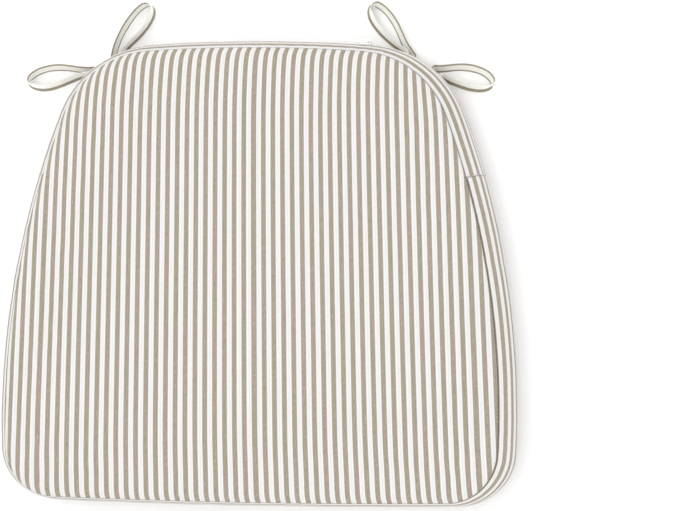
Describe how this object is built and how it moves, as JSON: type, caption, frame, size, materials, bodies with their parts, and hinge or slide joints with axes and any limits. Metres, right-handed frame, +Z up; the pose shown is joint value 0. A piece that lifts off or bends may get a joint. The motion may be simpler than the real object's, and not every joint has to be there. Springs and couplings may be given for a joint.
{
  "type": "chair seat pad",
  "caption": "Tie-on chair seat pad with a boxed, striped fabric cover, a zipped rear band, a foam core and loops of tape at the rear corners.",
  "frame": {"origin": "bottom centre of the pad, on the surface it lies on, ties left out", "axes": "+Z up through the thickness, +X to the pad's right seen from its front edge, +Y to the rear edge with the ties and the zip"},
  "size_m": [0.4198, 0.3953, 0.055],
  "materials": {
    "striped_cloth": "woven cotton, beige and white stripes",
    "tie_cloth": "folded tape of the same striped cloth",
    "foam": "open-cell foam, matt",
    "fibre": "polyester wadding, matt",
    "zip_tape": "woven tape",
    "zip_coil": "smooth nylon",
    "zip_metal": "nickel plate",
    "thread": "spun thread"
  },
  "bodies": {
    "pad": {"top_panel": "striped_cloth", "bottom_panel": "striped_cloth", "front_band": "striped_cloth", "rear_band_upper": "striped_cloth", "rear_band_lower": "striped_cloth", "foam_core": "foam", "fibre_wrap_top": "fibre", "fibre_wrap_bottom": "fibre", "zip_tape_upper": "zip_tape", "zip_tape_lower": "zip_tape", "zip_coil_upper": "zip_coil", "zip_coil_lower": "zip_coil", "zip_bottom_stop": "zip_metal", "zip_top_stop_upper": "zip_metal", "zip_top_stop_lower": "zip_metal", "tie_left_outer": "tie_cloth", "tie_left_inner": "tie_cloth", "tie_right_inner": "tie_cloth", "tie_right_outer": "tie_cloth", "upper_seam_thread": "thread", "lower_seam_thread": "thread", "band_join_thread_left": "thread", "band_join_thread_right": "thread", "zip_topstitch_upper": "thread", "zip_topstitch_lower": "thread", "tie_tack_left": "thread", "tie_tack_right": "thread"},
    "slider": {"zip_slider": "zip_metal"},
    "pull": {"zip_pull": "zip_metal"}
  },
  "joints": [
    {"name": "zip_travel", "type": "hinge", "parent": "pad", "child": "slider", "pos_m": [0, -1.14844, 0.0243], "axis": [0, 0, 1], "range_deg": [0, 7.24]},
    {"name": "pull_flip", "type": "hinge", "parent": "slider", "child": "pull", "pos_m": [0.0863, 0.18137, 0.0243], "axis": [0, 0, -1], "range_deg": [0, 165]}
  ]
}
